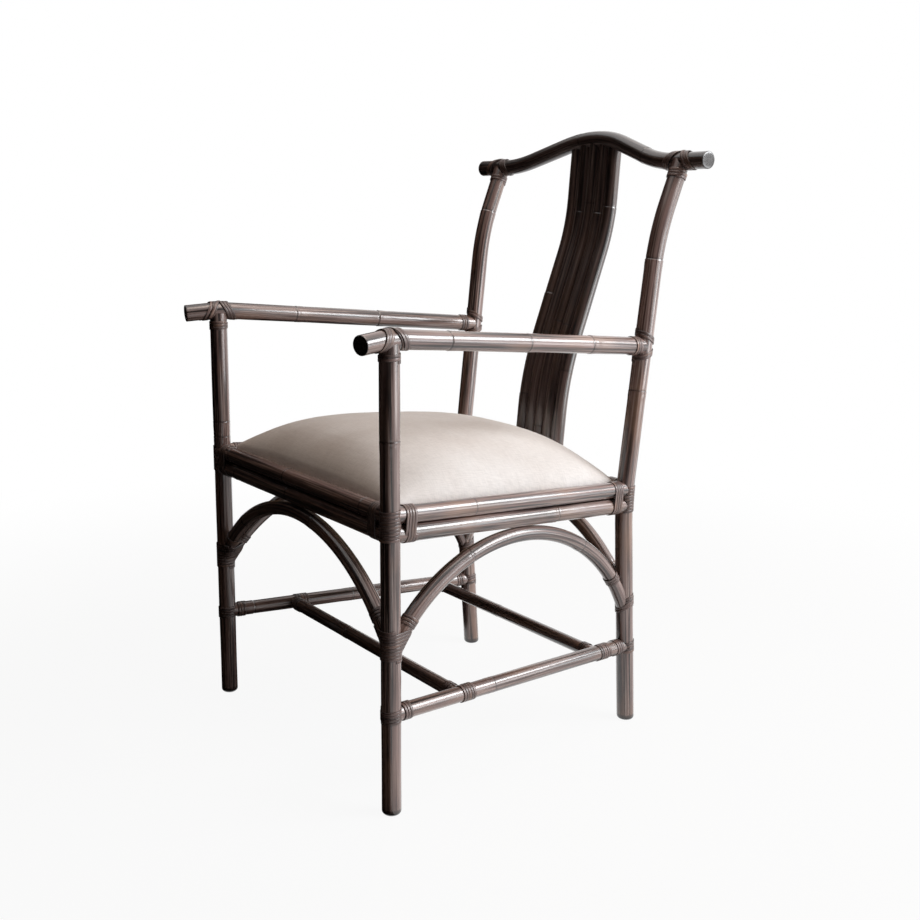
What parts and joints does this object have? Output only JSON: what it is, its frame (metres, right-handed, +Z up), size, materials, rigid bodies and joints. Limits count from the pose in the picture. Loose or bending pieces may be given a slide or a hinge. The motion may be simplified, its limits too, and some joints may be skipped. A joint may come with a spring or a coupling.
{
  "type": "armchair",
  "caption": "Armchair of bent rattan poles in the Chinese yoke-back manner: humped crest rail, curved pole splat, sloping arms, arched braces below stacked seat rails and a domed cloth seat.",
  "frame": {"origin": "on the floor, below the middle of the chair's box", "axes": "+Z up, the chair faces -Y, +X is the sitter's left"},
  "size_m": [0.5884, 0.6764, 0.9826],
  "materials": {
    "rattan_pole": "dark brown lacquer, semi-gloss",
    "binding_peel": "dark brown lacquer, semi-gloss",
    "seat_cloth": "plain off-white weave",
    "seat_foam": "open-cell foam",
    "plywood": "bare",
    "dowel_wood": "bare",
    "screw_steel": "zinc plated"
  },
  "bodies": {
    "root": {"arch_binding_front_left": "binding_peel", "arch_binding_front_right": "binding_peel", "arch_binding_rear_left": "binding_peel", "arch_binding_rear_right": "binding_peel", "arch_brace_front": "rattan_pole", "arch_brace_left": "rattan_pole", "arch_brace_rear": "rattan_pole", "arch_brace_right": "rattan_pole", "arm_binding_front_left": "binding_peel", "arm_binding_front_right": "binding_peel", "arm_binding_rear_left": "binding_peel", "arm_binding_rear_right": "binding_peel", "arm_rail_left": "rattan_pole", "arm_rail_right": "rattan_pole", "brace_screws": "screw_steel", "corner_braces": "plywood", "crest_binding_left": "binding_peel", "crest_binding_right": "binding_peel", "crest_rail": "rattan_pole", "cross_binding_front_left": "binding_peel", "cross_binding_front_right": "binding_peel", "cross_binding_rear_left": "binding_peel", "cross_binding_rear_right": "binding_peel", "cross_stretcher_front": "rattan_pole", "cross_stretcher_rear": "rattan_pole", "frame_screws": "screw_steel", "front_leg_left": "rattan_pole", "front_leg_right": "rattan_pole", "rear_post_left": "rattan_pole", "rear_post_right": "rattan_pole", "seat_binding_front_left": "binding_peel", "seat_binding_front_right": "binding_peel", "seat_binding_rear_left": "binding_peel", "seat_binding_rear_right": "binding_peel", "seat_board": "plywood", "seat_cover": "seat_cloth", "seat_foam": "seat_foam", "seat_rail_front_lower": "rattan_pole", "seat_rail_front_upper": "rattan_pole", "seat_rail_left_lower": "rattan_pole", "seat_rail_left_upper": "rattan_pole", "seat_rail_rear_lower": "rattan_pole", "seat_rail_rear_upper": "rattan_pole", "seat_rail_right_lower": "rattan_pole", "seat_rail_right_upper": "rattan_pole", "seat_screws": "screw_steel", "side_stretcher_left": "rattan_pole", "side_stretcher_right": "rattan_pole", "splat_dowels": "dowel_wood", "splat_pole_1": "rattan_pole", "splat_pole_2": "rattan_pole", "splat_pole_3": "rattan_pole", "splat_pole_4": "rattan_pole", "splat_pole_5": "rattan_pole", "stretcher_binding_front_left": "binding_peel", "stretcher_binding_front_right": "binding_peel", "stretcher_binding_rear_left": "binding_peel", "stretcher_binding_rear_right": "binding_peel"}
  },
  "joints": []
}
